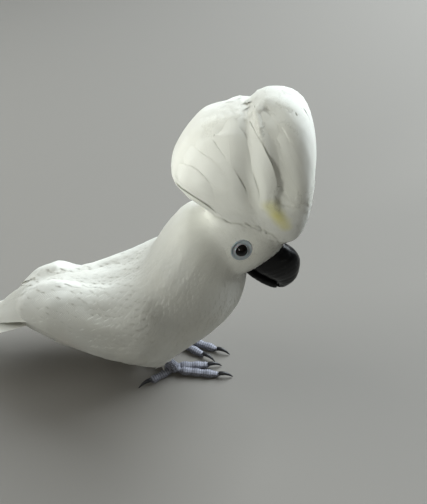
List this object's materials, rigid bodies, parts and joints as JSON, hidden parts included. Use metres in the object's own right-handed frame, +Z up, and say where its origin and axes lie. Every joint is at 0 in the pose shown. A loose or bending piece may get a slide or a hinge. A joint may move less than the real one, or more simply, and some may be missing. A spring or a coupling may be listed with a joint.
{
  "type": "white cockatoo",
  "caption": "Life-size still model of a white cockatoo standing on both feet, body low, crest fully raised and bill bowed.",
  "frame": {"origin": "on the floor under the middle of the bounding box", "axes": "+X towards the bill and away from the tail, +Y to the bird's left, +Z up"},
  "size_m": [0.3626, 0.1216, 0.2972],
  "materials": {
    "plumage": "soft matt white feathers",
    "crest_plumage": "smooth white feathers, faint yellow at the base",
    "bill": "black horn with grey powder bloom",
    "bare_skin": "matt pale blue-grey wrinkled skin",
    "eye": "wet gloss, very dark brown",
    "foot_skin": "dark grey scales, paler on their crowns",
    "claw": "semi-gloss black horn"
  },
  "bodies": {
    "root": {"trunk": "plumage", "neck": "plumage", "head": "plumage", "bill_upper": "bill", "bill_lower": "bill", "eye_left": "eye", "eye_right": "eye", "eye_ring_left": "bare_skin", "eye_ring_right": "bare_skin", "crest_front": "crest_plumage", "crest_rear": "crest_plumage", "wing_left": "plumage", "wing_right": "plumage", "flight_left": "plumage", "flight_right": "plumage", "tail": "plumage", "thigh_left": "plumage", "thigh_right": "plumage", "shank_left": "foot_skin", "shank_right": "foot_skin", "toe_left_1": "foot_skin", "toe_left_2": "foot_skin", "toe_left_3": "foot_skin", "toe_left_4": "foot_skin", "toe_right_1": "foot_skin", "toe_right_2": "foot_skin", "toe_right_3": "foot_skin", "toe_right_4": "foot_skin", "claw_left_1": "claw", "claw_left_2": "claw", "claw_left_3": "claw", "claw_left_4": "claw", "claw_right_1": "claw", "claw_right_2": "claw", "claw_right_3": "claw", "claw_right_4": "claw"}
  },
  "joints": []
}
